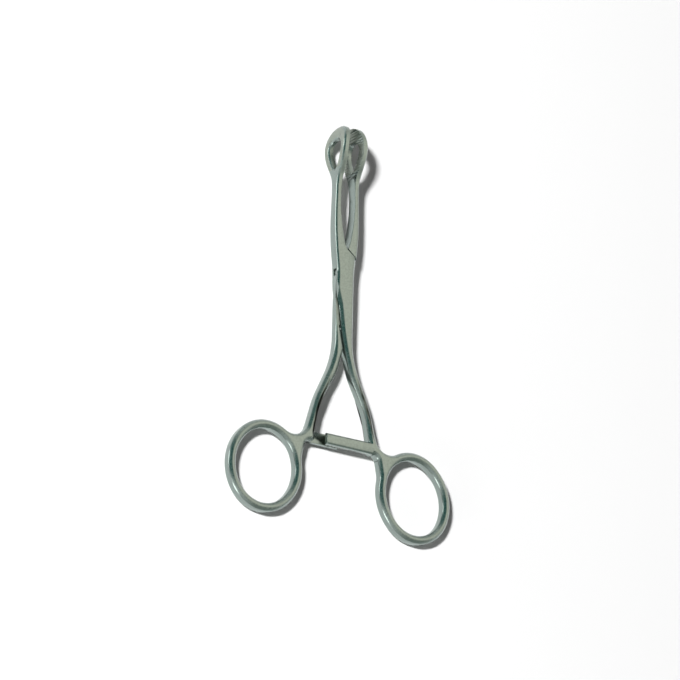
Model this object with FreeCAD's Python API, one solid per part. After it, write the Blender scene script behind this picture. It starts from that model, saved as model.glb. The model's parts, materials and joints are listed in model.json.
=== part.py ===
import FreeCAD, Part
import math
import os

# Organ holding forceps: two forged halves that cross in a box lock, and the pin that joins them.
# Working frame in millimetres: the pin's axis is Z, the jaws point along +Y, and Z = 0 is the
# plane in which the instrument opens. The last step lays it down as it comes to rest.

# Overall sizes, measured from the pin's axis, with the ratchet on its first teeth
JAW_REACH = 63.0            # pin to jaw tips
RING_DROP = 88.0            # pin to the line through the two ring centres
RING_SPREAD = 70.0          # between ring centres
HALF_THICKNESS = 2.7        # box, shanks and rings, either side of the middle plane
HANDLE_BEVEL = 1.3          # broken edges of shanks, cheeks and rings
JAW_BEVEL = 0.8             # and of the jaws' outer sides

# Finger ring: an oval of four arcs
RING_LONG = 17.1            # half axes of the line down the middle of the band
RING_SHORT = 15.2
RING_END = 14.2             # radius of that line at the oval's two ends
RING_BAND = 3.5             # width of the band
RING_LEAN = 13.0            # degrees the long axis leans in at the top
TOP_CROOK = 6.9             # radius where the shank's outer side runs into the ring
WEB_CROOK = 10.0            # and where the web below the ratchet does
WEB_CORNER = 2.5
ARM_CORNER = 1.8            # where the web turns up beside the ratchet arm's foot

# Box lock
BOX_HALF_WIDTH = 4.1
FORK_REACH = 10.2           # where the jaw's inner side meets the cheeks' shoulder line
FORK_PAST = 0.4             # how far that point lies past the middle
SHOULDER_REACH = 6.3        # the shoulder line's outer end
SHOULDER_WIDTH = 4.75
TAIL_DROP = 9.0             # where the cheeks leave the other half's side
PIN_RADIUS = 1.5
PIN_CLEARANCE = 0.04        # all round, in the tongue's bore
TONGUE_HALF = 1.0           # half thickness of the tongue
TONGUE_CLEARANCE = 0.06     # above and below the tongue
TONGUE_RADIUS = 3.7         # round middle of the tongue
WALL_END = 1.5              # the side walls stop this far from the middle
TONGUE_REACH = 22.5         # how far down the tongue lies between the cheeks
SLOT_SPARE = 1.0            # how much longer the slot is
RAMP_DROP = 36.0            # where the tongue half reaches its full thickness
CLOSE_ANGLE = 2.5           # degrees left to close from the first teeth
LOCK_CLEARANCE = 0.15       # between the halves with the jaws shut

# Jaws
JAW_HALF_SPAN = 5.95        # middle of the instrument to the outside of a jaw
JAW_PLATE = 2.6             # thickness of the fenestrated plate
TIP_CLEARANCE = 0.1         # half the gap between the tips with the jaws shut
SHANK_END = 2.35            # half height of the jaw's shank where it meets the plate
JAW_HALF_WIDTH = 7.8
JAW_WIDEST = 0.862          # share of the reach at which the plate is widest
JAW_RIM = 3.6               # rim on either side of the window
GROOVE_PITCH = 1.1          # cross grooves in the gripping face
GROOVE_DEPTH = 0.25

# Ratchet
RATCHET_ABOVE = 18.8        # ring centres to the upper edge of the two arms
RATCHET_WIDTH = 4.7
RATCHET_PAST = 7.5          # how far each arm reaches past the middle
RATCHET_GAP = 0.2           # between the tips of facing teeth
ARM_BEVEL = 0.7             # along its upper edges
TOOTH_PITCH = 1.5
TOOTH_DEPTH = 0.75
TOOTH_COUNT = 8

# Worked out from the sizes above
RATCHET_TOP = RATCHET_ABOVE - RING_DROP
ARM_ROOT = 0.183 * RING_SPREAD
BIG = 1.5 * JAW_REACH
MIDDLE = FreeCAD.Vector(0, 0, 0)
UP = FreeCAD.Vector(0, 0, 1)


def point(x, y, z=0.0):
    return FreeCAD.Vector(x, y, z)


def arc(centre, start, end):
    """The short arc about a centre from one place to another."""
    radius = (start - centre).Length
    outwards = ((start - centre) + (end - centre)).normalize()
    return Part.Arc(start, centre + outwards * radius, end).toShape()


def path(corners):
    """Straight edges through corners, given as (place, radius), with an arc in each corner."""
    edges = []
    last = corners[0][0]
    for (before, _), (place, radius), (after, _) in zip(corners, corners[1:], corners[2:]):
        back = (before - place).normalize()
        ahead = (after - place).normalize()
        half = back.getAngle(ahead) / 2
        start = place + back * (radius / math.tan(half))
        end = place + ahead * (radius / math.tan(half))
        centre = place + (back + ahead).normalize() * (radius / math.sin(half))
        edges += [Part.makeLine(last, start), arc(centre, start, end)]
        last = end
    return edges + [Part.makeLine(last, corners[-1][0])]


def shares(corners, across, along):
    """Corners whose places are given as shares of two sizes, with their radii."""
    return [(point(x * across, y * along), radius) for x, y, radius in corners]


def face_of(edges):
    return Part.Face(Part.Wire(Part.__sortEdges__(edges)))


def polygon(places):
    return Part.Face(Part.makePolygon(places + [places[0]]))


def slab(face, low, high):
    """A face drawn at Z = 0, made solid between two heights."""
    solid = face.extrude(UP * (high - low))
    solid.translate(UP * low)
    return solid


def turned(shape, angle):
    """A copy turned about the pin."""
    other = shape.copy()
    other.rotate(MIDDLE, UP, angle)
    return other


def ring_place(along, across):
    """A place given along the ring's long axis and across it, towards the shank."""
    lean = math.radians(RING_LEAN)
    x = RING_SPREAD / 2 - along * math.sin(lean) - across * math.cos(lean)
    y = -RING_DROP + along * math.cos(lean) - across * math.sin(lean)
    return point(x, y)


def ring_centres():
    """How far the centres of the oval's end arcs and side arcs lie from its middle."""
    side = (RING_LONG ** 2 - 2 * RING_LONG * RING_END + RING_SHORT ** 2) / 2 / (RING_SHORT - RING_END)
    return RING_LONG - RING_END, side - RING_SHORT


def ring_join(offset, along, across):
    """Where an end arc meets a side arc, offset outwards from the band's middle line."""
    end, side = ring_centres()
    slant = math.atan2(side, end)
    radius = RING_END + offset
    return ring_place(along * (end + radius * math.cos(slant)), across * radius * math.sin(slant))


def ring_edges(offset, first, last):
    """The oval from one place on its upper end arc round to another on its side arc."""
    end, side = ring_centres()
    corners = [ring_join(offset, 1, -1), ring_join(offset, -1, -1), ring_join(offset, -1, 1)]
    places = [first] + corners + [last]
    centres = [ring_place(end, 0), ring_place(0, side), ring_place(-end, 0), ring_place(0, -side)]
    return [arc(*stretch) for stretch in zip(centres, places, places[1:])]


def crook(place, aim, centre, reach, radius, side):
    """Arc that leaves a straight line on one side and runs onto a circle from outside."""
    heading = (aim - place).normalize()
    normal = UP.cross(heading) * side
    start_centre = place + normal * radius
    towards = start_centre - centre
    along = towards.dot(heading)
    root = math.sqrt(along ** 2 - towards.dot(towards) + (reach + radius) ** 2)
    arc_centre = start_centre + heading * (-along - root)
    start = arc_centre - normal * radius
    end = centre + (arc_centre - centre) * (reach / (reach + radius))
    return arc_centre, start, end


def cheek_corners():
    """Lower left edge of the box half's cheeks, down to where the handles part."""
    return shares([(-1.0, -TAIL_DROP / RING_DROP, 0), (-0.67, -0.16, 6), (-0.32, -0.285, 40),
                   (0.073, -0.375, 40), (0.78, -0.493, 30)], BOX_HALF_WIDTH, RING_DROP)


def tip_inside():
    """Half the gap at the jaw tips: what the closing angle takes up."""
    return JAW_REACH * math.tan(math.radians(CLOSE_ANGLE / 2)) + TIP_CLEARANCE


def bow(inset, reach):
    """A place some way in from the jaws' full span, and some way along them."""
    return point(inset - JAW_HALF_SPAN, reach * JAW_REACH)


def smooth(places, heading):
    """One smooth edge through places, leaving the first one under a given heading."""
    side = Part.BSplineCurve()
    side.interpolate(Points=places, InitialTangent=heading, FinalTangent=places[-1] - places[-2])
    return side.toShape()


def fork():
    return point(-FORK_PAST, FORK_REACH)


def shoulder():
    return point(SHOULDER_WIDTH, SHOULDER_REACH)


def tail():
    return point(-BOX_HALF_WIDTH, -TAIL_DROP)


def jaw_outside():
    """Outer side of the left jaw, from the tail of the cheeks past the tip."""
    tip = point(-tip_inside() - JAW_PLATE, JAW_REACH)
    places = [tail(), point(-BOX_HALF_WIDTH, 0), point(-SHOULDER_WIDTH, SHOULDER_REACH),
              bow(0.25, 0.286), bow(0.35, 0.508), bow(0.25, 0.73), bow(0, 0.857),
              tip - point(0.9, 0.048 * JAW_REACH), tip, tip + point(1.6, 0.048 * JAW_REACH)]
    return smooth(places, point(0, 1))


def jaw_inside():
    """Inner side of the left jaw, from the fork past the tip."""
    tip = point(-tip_inside(), JAW_REACH)
    places = [fork(), bow(JAW_PLATE + 1.45, 0.246), bow(JAW_PLATE + 0.35, 0.365),
              bow(JAW_PLATE - 0.05, 0.492), bow(JAW_PLATE + 0.2, 0.603),
              bow(JAW_PLATE + 0.25, 0.73), bow(JAW_PLATE, 0.857),
              tip - point(0.85, 0.048 * JAW_REACH), tip, tip + point(1.3, 0.048 * JAW_REACH)]
    return smooth(places, point(-1, 2))


def plan_face():
    """Outline of the half whose jaw is on the left and ring on the right, seen from above."""
    edge = RING_BAND / 2
    end, side = ring_centres()
    arm_low = point(ARM_ROOT, RATCHET_TOP - RATCHET_WIDTH)
    arm_high = point(ARM_ROOT, RATCHET_TOP)
    knee = point(0.18 * RING_SPREAD, -0.622 * RING_DROP)
    aim = point(RING_SPREAD / 2 - 0.865 * RING_SHORT, -RING_DROP)
    top_centre, top_start, top_end = crook(knee, aim, ring_place(end, 0), RING_END + edge,
                                           TOP_CROOK, 1)
    web_top = point(ring_place(0, RING_SHORT).x - 3.3, arm_low.y)
    web_aim = web_top + point(0.2, -1)
    web_centre, web_start, web_end = crook(web_top, web_aim, ring_place(0, -side),
                                           RING_SHORT + side + edge, WEB_CROOK, -1)
    outside = [(shoulder(), 0), (point(BOX_HALF_WIDTH, 0), 25),
               (point(BOX_HALF_WIDTH, -0.409 * RING_DROP), 40), (knee, 45), (top_start, 0)]
    inner_knee = point(0.153 * RING_SPREAD, -0.656 * RING_DROP)
    inside = [(web_start, 0), (web_top, WEB_CORNER), (arm_low, ARM_CORNER), (arm_high, 15),
              (inner_knee, 30)] + cheek_corners()[::-1]
    edges = path(outside) + [arc(top_centre, top_start, top_end)]
    edges += ring_edges(edge, top_end, web_end) + [arc(web_centre, web_start, web_end)]
    edges += path(inside)
    sides = [jaw_outside(), jaw_inside()]
    ends = [side.valueAt(side.LastParameter) for side in sides]
    edges += sides + [Part.makeLine(*ends), Part.makeLine(fork(), shoulder())]
    hole_start = ring_join(-edge, 1, 1)
    hole = Part.Wire(ring_edges(-edge, hole_start, hole_start))
    return face_of(edges).cut(Part.Face(hole))


def around(upper):
    """Points of an upper edge, with its mirror image below, from end to end."""
    below = [point(0, place.y, -place.z) for place in upper[-2::-1]]
    return upper + below


def upright(pairs):
    """Points seen from the side, as shares of the jaw's reach and of its half width."""
    return [point(0, y * JAW_REACH, z * JAW_HALF_WIDTH) for y, z in pairs]


def side_solid():
    """The half seen from the side: level along the handle, an egg at the jaw."""
    start = point(0, 0.127 * JAW_REACH, HALF_THICKNESS)
    shank = [point(0, 0.349 * JAW_REACH, SHANK_END + 0.4 * (HALF_THICKNESS - SHANK_END)),
             point(0, 0.556 * JAW_REACH, SHANK_END)]
    upper = [start] + shank + upright([(0.643, 0.385), (0.714, 0.667), (0.786, 0.91),
                                       (JAW_WIDEST, 1), (0.933, 0.885), (0.981, 0.551), (1, 0)])
    egg = Part.BSplineCurve()
    egg.interpolate(Points=around(upper), InitialTangent=point(0, 1), FinalTangent=point(0, -1))
    low_start = point(0, start.y, -start.z)
    back = point(0, -BIG - RING_DROP)
    corners = [low_start, low_start + back, start + back, start]
    solid = face_of([egg.toShape()] + Part.makePolygon(corners).Edges).extrude(point(2 * BIG, 0))
    solid.translate(point(-BIG, 0))
    return solid


def window_solid():
    """What is cut through the jaw plate: an egg, narrow towards the shank."""
    half = 1 - JAW_RIM / JAW_HALF_WIDTH
    upper = upright([(0.702, 0), (0.74, 0.5 * half), (0.802, 0.89 * half), (0.85, half),
                     (0.892, 0.64 * half), (0.908, 0)])
    egg = Part.BSplineCurve()
    egg.interpolate(Points=around(upper)[:-1], PeriodicFlag=True)
    solid = face_of([egg.toShape()]).extrude(point(2 * JAW_HALF_SPAN, 0))
    solid.translate(point(-2 * JAW_HALF_SPAN, 0))
    return solid


def grooves():
    """Cross grooves over the jaw's gripping face, set along its bowed inner side."""
    tools = []
    for place in jaw_inside().discretize(Distance=GROOVE_PITCH):
        if 0.68 * JAW_REACH < place.y < 0.985 * JAW_REACH:
            edge = place + point(GROOVE_DEPTH, 0)
            bottom = place - point(GROOVE_DEPTH, 0)
            rise = point(0, 2 * GROOVE_DEPTH)
            tools.append(slab(polygon([bottom, edge + rise, edge - rise]), -BIG, BIG))
    return Part.makeCompound(tools)


def middle_of(edge):
    return edge.valueAt((edge.FirstParameter + edge.LastParameter) / 2)


def heading_of(edge):
    return edge.tangentAt((edge.FirstParameter + edge.LastParameter) / 2)


def is_upright(edge):
    """Stands on an outline's corner, or on the seam between two of its stretches."""
    return abs(heading_of(edge).z) > 0.99 and edge.Length < 2.5 * HALF_THICKNESS


def on_handle(edge):
    """All edges of shank, cheeks and ring, from the shoulder line and the tail down."""
    place = middle_of(edge)
    right_of_pin = place.x > 0.9 * BOX_HALF_WIDTH and place.y < SHOULDER_REACH
    return not is_upright(edge) and (right_of_pin or place.y < -TAIL_DROP)


def on_jaw_outside(edge):
    """All edges of the jaw's outer side, from the tail to the tip, with the window's."""
    place = middle_of(edge)
    crosses = abs(heading_of(edge).x) > 0.99 and edge.Length < 2 * JAW_PLATE
    return (place.x < -tip_inside() - 0.9 * JAW_PLATE and place.y > -TAIL_DROP
            and not crosses and not is_upright(edge))


def blank():
    """One forging before its lock is cut: left jaw, box, right shank and ring."""
    height = 2 * JAW_HALF_WIDTH
    solid = slab(plan_face(), -height, height).common(side_solid()).cut(window_solid())
    handle_bevel = min(HANDLE_BEVEL, 0.38 * RING_BAND, 0.49 * HALF_THICKNESS)
    jaw_bevel = min(JAW_BEVEL, 0.4 * JAW_PLATE)
    for bevel, chosen in ((handle_bevel, on_handle), (jaw_bevel, on_jaw_outside)):
        solid = solid.makeChamfer(bevel, [edge for edge in solid.Edges if chosen(edge)])
    return solid.cut(grooves())


def ratchet_arm():
    """Upper arm of the ratchet, from the right shank past the middle, teeth underneath."""
    tip = -RATCHET_PAST
    low = RATCHET_GAP / 2
    gum = low + TOOTH_DEPTH
    foot = ARM_ROOT + HANDLE_BEVEL + 0.2
    profile = [(foot, HALF_THICKNESS), (tip, HALF_THICKNESS), (tip, gum)]
    for tooth in range(TOOTH_COUNT):
        left = tip + tooth * TOOTH_PITCH
        profile += [(left + 0.95 * TOOTH_PITCH, low), (left + TOOTH_PITCH, gum)]
    end = tip + TOOTH_COUNT * TOOTH_PITCH
    profile += [(end + 0.7 * TOOTH_PITCH, gum), (end + 1.3 * TOOTH_PITCH, low), (foot, low)]
    face = polygon([point(x, RATCHET_TOP - RATCHET_WIDTH, z) for x, z in profile])
    arm = face.extrude(point(0, RATCHET_WIDTH))
    top = [edge for edge in arm.Edges
           if edge.Length > 2 * RATCHET_WIDTH and middle_of(edge).z > 0.99 * HALF_THICKNESS]
    return arm.makeChamfer(ARM_BEVEL, top)


def tangent_point(place, radius):
    """Where a line from a place above touches the circle about the pin, on its left."""
    heading = math.atan2(place.y, place.x) + math.acos(radius / place.Length)
    return point(radius * math.cos(heading), radius * math.sin(heading))


def beside_tongue(clearance, low):
    """Region on the upper left that the tongue leaves to the other half, down to a given Y."""
    radius = TONGUE_RADIUS + clearance
    corner = point(FORK_PAST - clearance, FORK_REACH)
    touch = tangent_point(corner, radius)
    region = polygon([touch, corner, point(corner.x, BIG), point(-BIG, BIG), point(-BIG, low),
                      point(touch.x, low)])
    return region.cut(Part.Face(Part.Wire(Part.makeCircle(radius))))


def pin_hole(radius):
    return Part.makeCylinder(radius, 4 * HALF_THICKNESS, point(0, 0, -2 * HALF_THICKNESS))


def box_half():
    """Upper left jaw, the two cheeks of the box, and the right ring."""
    layer = TONGUE_HALF + TONGUE_CLEARANCE
    reach = TONGUE_REACH + SLOT_SPARE
    across = [point(-BIG, -reach), point(BIG, -reach), point(BIG, reach), point(-BIG, reach)]
    slot = slab(polygon(across), -layer, layer)
    wall = slab(beside_tongue(LOCK_CLEARANCE, WALL_END), -layer, layer)
    for angle in (CLOSE_ANGLE, CLOSE_ANGLE + 180):
        slot = slot.cut(turned(wall, angle))
    solid = blank().fuse(ratchet_arm()).cut(slot).cut(pin_hole(PIN_RADIUS))
    return solid.removeSplitter()


def room_for_cheeks():
    """Region that the tongue half leaves to the cheeks and shank of the box half."""
    aside = point(-LOCK_CLEARANCE, 0)
    up = point(0, LOCK_CLEARANCE)
    corners = [(place + aside, radius) for place, radius in cheek_corners()]
    start = corners[0][0]
    around_it = [corners[-1][0], point(BIG, -BIG), point(BIG, 0), shoulder() + up, fork() + up,
                 point(-BIG, FORK_REACH), point(-BIG, start.y), start]
    return turned(face_of(path(corners) + Part.makePolygon(around_it).Edges), -CLOSE_ANGLE)


def ramps():
    """What is taken off above and below where the tongue grows into the shank."""
    tail_end = point(-BIG, -TAIL_DROP)
    profile = [tail_end + UP * TONGUE_HALF, point(-BIG, -RAMP_DROP, 1.01 * HALF_THICKNESS),
               tail_end + UP * (1.5 * HALF_THICKNESS)]
    wedge = polygon(profile).extrude(point(2 * BIG, 0))
    return [wedge, wedge.mirror(MIDDLE, UP)]


def tongue_half():
    """Right jaw, the tongue that passes through the box, and the left ring."""
    solid = blank().mirror(MIDDLE, point(1, 0))
    arm = ratchet_arm()
    arm.rotate(MIDDLE, point(0, 1), 180)
    solid = solid.fuse(arm)
    room = room_for_cheeks()
    below = polygon([point(-BIG, -TONGUE_REACH), point(BIG, -TONGUE_REACH), point(BIG, -BIG),
                     point(-BIG, -BIG)])
    wall = slab(beside_tongue(0, -WALL_END), -BIG, BIG)
    taken = [slab(room, TONGUE_HALF, BIG), slab(room, -BIG, -TONGUE_HALF),
             slab(room.common(below), -BIG, BIG), wall, turned(wall, 180)]
    for tool in taken + ramps() + [pin_hole(PIN_RADIUS + PIN_CLEARANCE)]:
        solid = solid.cut(tool)
    return solid.removeSplitter()


def joint_pin():
    return Part.makeCylinder(PIN_RADIUS, 2 * HALF_THICKNESS, point(0, 0, -HALF_THICKNESS))


def laid_down(pieces):
    """Tip the instrument until jaws and rings touch the ground, and centre it there."""
    drop = JAW_HALF_WIDTH - HALF_THICKNESS
    reach = JAW_WIDEST * JAW_REACH + RING_DROP + RING_LONG
    for shape in pieces.values():
        shape.rotate(MIDDLE, point(1, 0), math.degrees(math.atan(drop / reach)))
    corners = [corner for shape in pieces.values() for corner in shape.tessellate(0.02)[0]]
    middle = [(min(values) + max(values)) / 2 for values in zip(*corners)]
    ground = min(corner.z for corner in corners)
    for shape in pieces.values():
        shape.translate(point(-middle[0], -middle[1], -ground))


pieces = {"box_half": box_half(), "tongue_half": tongue_half(), "joint_pin": joint_pin()}
laid_down(pieces)
os.makedirs("parts", exist_ok=True)
for name, shape in pieces.items():
    shape.exportStep("parts/" + name + ".step")
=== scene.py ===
import json
import math

import bmesh
import bpy
from mathutils import Matrix, Vector


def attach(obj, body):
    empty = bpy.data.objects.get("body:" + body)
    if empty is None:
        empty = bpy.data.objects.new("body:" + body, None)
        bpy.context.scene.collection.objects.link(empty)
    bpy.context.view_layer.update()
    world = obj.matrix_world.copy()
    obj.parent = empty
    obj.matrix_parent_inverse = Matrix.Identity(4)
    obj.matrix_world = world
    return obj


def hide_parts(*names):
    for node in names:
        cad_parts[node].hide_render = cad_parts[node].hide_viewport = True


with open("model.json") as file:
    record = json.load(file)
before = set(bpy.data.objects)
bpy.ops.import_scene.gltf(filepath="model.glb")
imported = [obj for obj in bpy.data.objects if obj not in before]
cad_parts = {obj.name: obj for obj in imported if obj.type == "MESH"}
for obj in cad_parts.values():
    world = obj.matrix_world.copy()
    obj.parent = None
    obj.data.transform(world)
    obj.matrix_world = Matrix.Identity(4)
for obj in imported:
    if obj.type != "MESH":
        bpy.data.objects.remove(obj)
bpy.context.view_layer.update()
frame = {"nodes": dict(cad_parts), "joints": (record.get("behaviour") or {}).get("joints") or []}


# Box half: left jaw, the cheeks of the box lock, right shank, upper ratchet arm and right ring,
# drop forged in one piece of stainless steel and milled through for the tongue. Its flat faces
# are glass-bead blasted to a satin grain, and its edges and sides are buffed.
def steel_finish_group():
    group = bpy.data.node_groups.new("bead_blasted_steel", "ShaderNodeTree")
    interface = group.interface
    for name, kind, value in (("Satin Colour", "NodeSocketColor", (0.305, 0.34, 0.297, 1)),
                              ("Polished Colour", "NodeSocketColor", (0.275, 0.325, 0.305, 1)),
                              ("Satin Roughness", "NodeSocketFloat", 0.36),
                              ("Polished Roughness", "NodeSocketFloat", 0.24),
                              ("Jaw Start", "NodeSocketFloat", 0.066),
                              ("Mottle", "NodeSocketFloat", 0.11),
                              ("Grain Depth", "NodeSocketFloat", 0.5)):
        socket = interface.new_socket(name, in_out="INPUT", socket_type=kind)
        socket.default_value = value
    for name, kind in (("Colour", "NodeSocketColor"), ("Roughness", "NodeSocketFloat"),
                       ("Normal", "NodeSocketVector")):
        interface.new_socket(name, in_out="OUTPUT", socket_type=kind)
    nodes, links = group.nodes, group.links
    given = nodes.new("NodeGroupInput")
    result = nodes.new("NodeGroupOutput")
    place = nodes.new("ShaderNodeTexCoord")

    def noise(scale, detail):
        texture = nodes.new("ShaderNodeTexNoise")
        texture.inputs["Scale"].default_value = scale
        texture.inputs["Detail"].default_value = detail
        links.new(place.outputs["Object"], texture.inputs["Vector"])
        return texture.outputs["Fac"]

    def number(operation, first, second=None):
        node = nodes.new("ShaderNodeMath")
        node.operation = operation
        for socket, value in zip(node.inputs, (first, second)):
            if isinstance(value, (int, float)):
                socket.default_value = value
            elif value is not None:
                links.new(value, socket)
        return node.outputs["Value"]

    def spread(value, low, high, to_low=0, to_high=1):
        node = nodes.new("ShaderNodeMapRange")
        node.interpolation_type = "SMOOTHSTEP"
        for name, given_value in (("From Min", low), ("From Max", high), ("To Min", to_low),
                                  ("To Max", to_high)):
            node.inputs[name].default_value = given_value
        links.new(value, node.inputs["Value"])
        return node.outputs["Result"]

    mottle_scale = 1300
    grain_scale = 2400
    roughness_swing = 0.05
    grain_height = 0.00003
    buffed_grain = 0.2
    mottle_in_grain = 0.2

    # Blasted faces: the upper and lower faces, and on the jaws the inner and outer faces too.
    facing = nodes.new("ShaderNodeSeparateXYZ")
    links.new(place.outputs["Normal"], facing.inputs["Vector"])
    where = nodes.new("ShaderNodeSeparateXYZ")
    links.new(place.outputs["Object"], where.inputs["Vector"])
    level = spread(number("ABSOLUTE", facing.outputs["Z"]), 0.6, 0.98)
    sideways = spread(number("ABSOLUTE", facing.outputs["X"]), 0.8, 0.96)
    on_jaw = number("GREATER_THAN", where.outputs["Y"], given.outputs["Jaw Start"])
    blasted = number("MAXIMUM", level, number("MULTIPLY", sideways, on_jaw))

    # Satin tone: a fine mottle lightens and darkens the blasted faces.
    cloud = spread(noise(mottle_scale, 3), 0.32, 0.68, -1, 1)
    tone = number("ADD", number("MULTIPLY", cloud, given.outputs["Mottle"]), 1)
    satin = nodes.new("ShaderNodeVectorMath")
    satin.operation = "SCALE"
    links.new(given.outputs["Satin Colour"], satin.inputs[0])
    links.new(tone, satin.inputs["Scale"])
    colour = nodes.new("ShaderNodeMix")
    colour.data_type = "RGBA"
    links.new(blasted, colour.inputs["Factor"])
    links.new(given.outputs["Polished Colour"], colour.inputs["A"])
    links.new(satin.outputs["Vector"], colour.inputs["B"])
    links.new(colour.outputs["Result"], result.inputs["Colour"])

    rough = nodes.new("ShaderNodeMix")
    links.new(blasted, rough.inputs["Factor"])
    links.new(given.outputs["Polished Roughness"], rough.inputs["A"])
    mottled = number("MULTIPLY", cloud, roughness_swing)
    links.new(number("ADD", given.outputs["Satin Roughness"], mottled), rough.inputs["B"])
    links.new(rough.outputs["Result"], result.inputs["Roughness"])

    # The grain is deepest on the blasted faces. Buffing leaves a trace of it on the rest.
    bump = nodes.new("ShaderNodeBump")
    bump.inputs["Distance"].default_value = grain_height
    depth = number("ADD", number("MULTIPLY", blasted, 1 - buffed_grain), buffed_grain)
    links.new(number("MULTIPLY", given.outputs["Grain Depth"], depth), bump.inputs["Strength"])
    swell = number("MULTIPLY", number("MULTIPLY", cloud, blasted), mottle_in_grain)
    links.new(number("ADD", noise(grain_scale, 2), swell), bump.inputs["Height"])
    links.new(bump.outputs["Normal"], result.inputs["Normal"])
    return group


steel_finish = steel_finish_group()


def steel_material(name, values):
    """Stainless steel with the shared finish, given this piece's own values."""
    material = bpy.data.materials.new(name)
    material.use_nodes = True
    nodes, links = material.node_tree.nodes, material.node_tree.links
    shader = nodes["Principled BSDF"]
    shader.inputs["Metallic"].default_value = 1
    finish = nodes.new("ShaderNodeGroup")
    finish.node_tree = steel_finish
    for socket, value in values.items():
        finish.inputs[socket].default_value = value
    links.new(finish.outputs["Colour"], shader.inputs["Base Color"])
    links.new(finish.outputs["Roughness"], shader.inputs["Roughness"])
    links.new(finish.outputs["Normal"], shader.inputs["Normal"])
    return material


def finished(node, name):
    """A copy of a forging's solid with its bevels rounded off and its sharp edges broken."""
    round_over = 0.00038
    sharp_share = 0.35
    narrow_face = 0.00045
    pin_bore = 0.002
    same_point = 0.000002
    flat_turn = 0.5
    crease_turn = 20
    bevel_turn, sharp_turn = 35, 60
    pin = Vector(frame["joints"][0]["pos_m"])
    piece = bpy.data.objects.new(name, frame["nodes"][node].data.copy())
    piece.data.name = name
    bpy.context.scene.collection.objects.link(piece)
    mesh = bmesh.new()
    mesh.from_mesh(piece.data)
    bmesh.ops.remove_doubles(mesh, verts=mesh.verts, dist=same_point)
    bmesh.ops.dissolve_limit(mesh, angle_limit=math.radians(flat_turn), verts=mesh.verts,
                             edges=mesh.edges)
    weight = mesh.edges.layers.float.new("bevel_weight_edge")
    for edge in mesh.edges:
        if len(edge.link_faces) != 2:
            continue
        turn = math.degrees(edge.calc_face_angle_signed())
        middle = (edge.verts[0].co + edge.verts[1].co) / 2 - pin
        narrowest = min(face.calc_area() for face in edge.link_faces) / edge.calc_length()
        at_pin = math.hypot(middle.x, middle.y) < pin_bore
        if bevel_turn < turn < sharp_turn and narrowest > narrow_face and not at_pin:
            edge[weight] = 1
        elif turn > sharp_turn and not at_pin:
            edge[weight] = sharp_share
        elif abs(turn) > crease_turn:
            edge.smooth = False
    mesh.to_mesh(piece.data)
    mesh.free()
    piece.data.materials.clear()
    edges = piece.modifiers.new("rounded_edges", "BEVEL")
    edges.width = round_over
    edges.segments = 3
    edges.limit_method = "WEIGHT"
    edges.use_clamp_overlap = False
    edges.harden_normals = True
    return piece


box_steel = steel_material("satin_steel_box_half", {"Grain Depth": 0.5})
box_half = finished("box_half", "box_half_forging")
box_half.data.materials.append(box_steel)
box_half.data.shade_smooth()
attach(box_half, "box_side")
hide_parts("box_half")


# Tongue half: right jaw, the tongue through the box, left shank, lower ratchet arm and left
# ring. It is forged like its partner, and its tongue is milled down to fit between the cheeks.
tongue_steel = steel_material("satin_steel_tongue_half", {"Grain Depth": 0.55})
tongue_half = finished("tongue_half", "tongue_half_forging")
tongue_half.data.materials.append(tongue_steel)
tongue_half.data.shade_smooth()
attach(tongue_half, "tongue_side")
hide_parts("tongue_half")


# Joint pin: a short steel pin pressed through cheeks and tongue, riveted and then ground flush,
# so that only a faint ring shows on the satin face of the box.
pin_steel = steel_material("satin_steel_pin", {"Satin Roughness": 0.38})
frame["nodes"]["joint_pin"].material_slots[0].material = pin_steel


# Floor: a plain white sheet under the forceps. It looks white to the camera and in the steel,
# and keeps the forceps' shadow.
def floor_sheet():
    reach = 1.5
    lift_strength = 0.04
    mesh = bpy.data.meshes.new("floor")
    corners = [(-reach, -reach, 0), (reach, -reach, 0), (reach, reach, 0), (-reach, reach, 0)]
    mesh.from_pydata(corners, [], [(0, 1, 2, 3)])
    sheet = bpy.data.objects.new("floor", mesh)
    bpy.context.scene.collection.objects.link(sheet)
    material = bpy.data.materials.new("white_sheet")
    material.use_nodes = True
    nodes, links = material.node_tree.nodes, material.node_tree.links
    shader = nodes["Principled BSDF"]
    shader.inputs["Base Color"].default_value = (0.86, 0.86, 0.86, 1)
    shader.inputs["Roughness"].default_value = 0.9
    shader.inputs["Specular IOR Level"].default_value = 0.1
    shader.inputs["Emission Color"].default_value = (1, 1, 1, 1)
    path = nodes.new("ShaderNodeLightPath")
    seen = path.outputs["Is Camera Ray"]
    for ray in ("Is Glossy Ray", "Is Transmission Ray"):
        either = nodes.new("ShaderNodeMath")
        either.operation = "MAXIMUM"
        links.new(seen, either.inputs[0])
        links.new(path.outputs[ray], either.inputs[1])
        seen = either.outputs["Value"]
    lift = nodes.new("ShaderNodeMath")
    lift.operation = "MULTIPLY"
    lift.inputs[1].default_value = lift_strength
    links.new(seen, lift.inputs[0])
    links.new(lift.outputs["Value"], shader.inputs["Emission Strength"])
    mesh.materials.append(material)
    return sheet


floor_sheet()


# Studio light: a soft box on the left that casts the shadow, and a plain room that the steel
# mirrors, with a grey wall, a dark teal screen, a white panel overhead and two bright windows.
def soft_box(place, size, power):
    """A square lamp that faces the forceps and isn't mirrored in the steel."""
    light = bpy.data.lights.new("soft_box", "AREA")
    light.size = size
    light.energy = power
    lamp = bpy.data.objects.new("soft_box", light)
    lamp.location = place
    lamp.rotation_euler = (-Vector(place)).to_track_quat("-Z", "Y").to_euler()
    lamp.visible_glossy = False
    bpy.context.scene.collection.objects.link(lamp)


soft_box(place=(-2.34, 0.12, 2.34), size=0.36, power=165)


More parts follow.
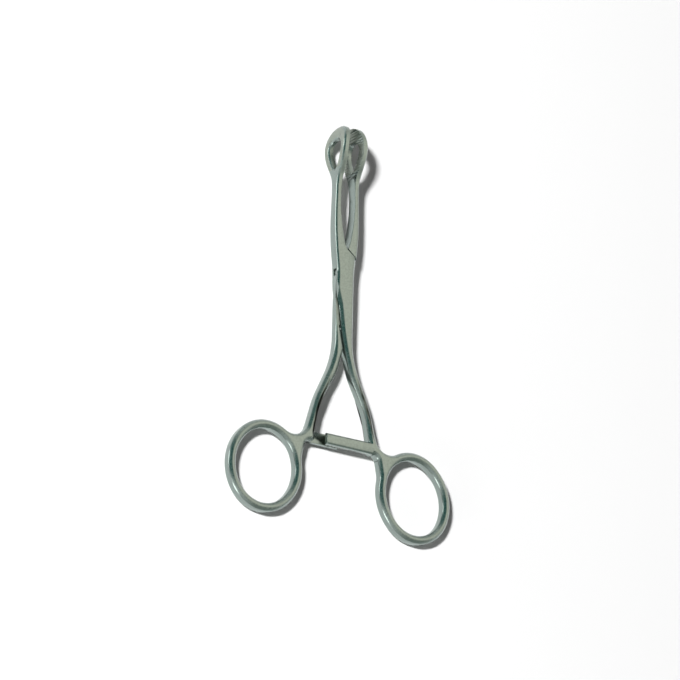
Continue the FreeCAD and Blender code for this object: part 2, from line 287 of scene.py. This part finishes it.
def surround():
    world = bpy.data.worlds.new("studio")
    bpy.context.scene.world = world
    world.use_nodes = True
    nodes, links = world.node_tree.nodes, world.node_tree.links
    heading = nodes.new("ShaderNodeTexCoord")

    def glow(direction, outer, inner):
        """How far each direction lies within a soft round patch of the room."""
        share = nodes.new("ShaderNodeVectorMath")
        share.operation = "DOT_PRODUCT"
        share.inputs[1].default_value = Vector(direction).normalized()
        links.new(heading.outputs["Generated"], share.inputs[0])
        patch = nodes.new("ShaderNodeMapRange")
        patch.interpolation_type = "SMOOTHSTEP"
        patch.inputs["From Min"].default_value = math.cos(math.radians(outer))
        patch.inputs["From Max"].default_value = math.cos(math.radians(inner))
        links.new(share.outputs["Value"], patch.inputs["Value"])
        return patch.outputs["Result"]

    def mixed(factor, first, second):
        mix = nodes.new("ShaderNodeMix")
        mix.data_type = "RGBA"
        links.new(factor, mix.inputs["Factor"])
        for name, colour in (("A", first), ("B", second)):
            if isinstance(colour, tuple):
                mix.inputs[name].default_value = colour
            else:
                links.new(colour, mix.inputs[name])
        return mix.outputs["Result"]

    # Each patch: its direction, the angles where it fades out and where it is full, its colour.
    grey_wall = (0.51, -0.78, 0.37), 45, 15, (0.34, 0.38, 0.35, 1)
    teal_screen = (-0.7, 0.37, 0.61), 44, 20, (0.03, 0.16, 0.15, 1)
    overhead_panel = (0.32, 0.23, 0.92), 40, 22, (1.15, 1.15, 1.08, 1)
    left_window = (-0.94, 0.34, 0.06), 17, 7, (5, 5, 4.9, 1)
    front_window = (-0.78, -0.6, 0.16), 17, 6, (6, 6, 5.9, 1)
    room = (0.7, 0.73, 0.71, 1)
    for direction, outer, inner, colour in (grey_wall, teal_screen, overhead_panel, left_window,
                                            front_window):
        room = mixed(glow(direction, outer, inner), room, colour)

    # The room only lifts the shadow a little: the soft box lights the floor.
    shadow_lift = (0.05, 0.05, 0.05, 1)
    path = nodes.new("ShaderNodeLightPath")
    room = mixed(path.outputs["Is Diffuse Ray"], room, shadow_lift)
    links.new(room, nodes["Background"].inputs["Color"])


surround()


# Camera: a long lens from the lower left, looking down on the forceps as they lie, rolled so
# that they stand upright in the picture.
def photo_camera():
    azimuth = math.radians(-54.16)
    elevation = math.radians(51.22)
    roll = math.radians(60.86)
    distance = 1.7
    aim = Vector((-0.00148, -0.00686, 0.006))
    pixels_per_unit_angle = 4271.7
    frame_pixels = 680
    towards = Vector((math.sin(azimuth) * math.cos(elevation),
                      -math.cos(azimuth) * math.cos(elevation), math.sin(elevation)))
    right = (-towards).cross(Vector((0, 0, 1))).normalized()
    above = right.cross(-towards)
    rolled_right = right * math.cos(roll) + above * math.sin(roll)
    rolled_above = above * math.cos(roll) - right * math.sin(roll)
    lens = bpy.data.cameras.new("photo_camera")
    lens.sensor_width = 36
    lens.lens = pixels_per_unit_angle / frame_pixels * lens.sensor_width
    lens.clip_end = 10
    camera = bpy.data.objects.new("photo_camera", lens)
    camera.matrix_world = Matrix.Translation(aim + towards * distance) @ Matrix(
        (rolled_right, rolled_above, towards)).transposed().to_4x4()
    bpy.context.scene.collection.objects.link(camera)
    bpy.context.scene.camera = camera


photo_camera()
bpy.context.scene.view_settings.view_transform = "Standard"
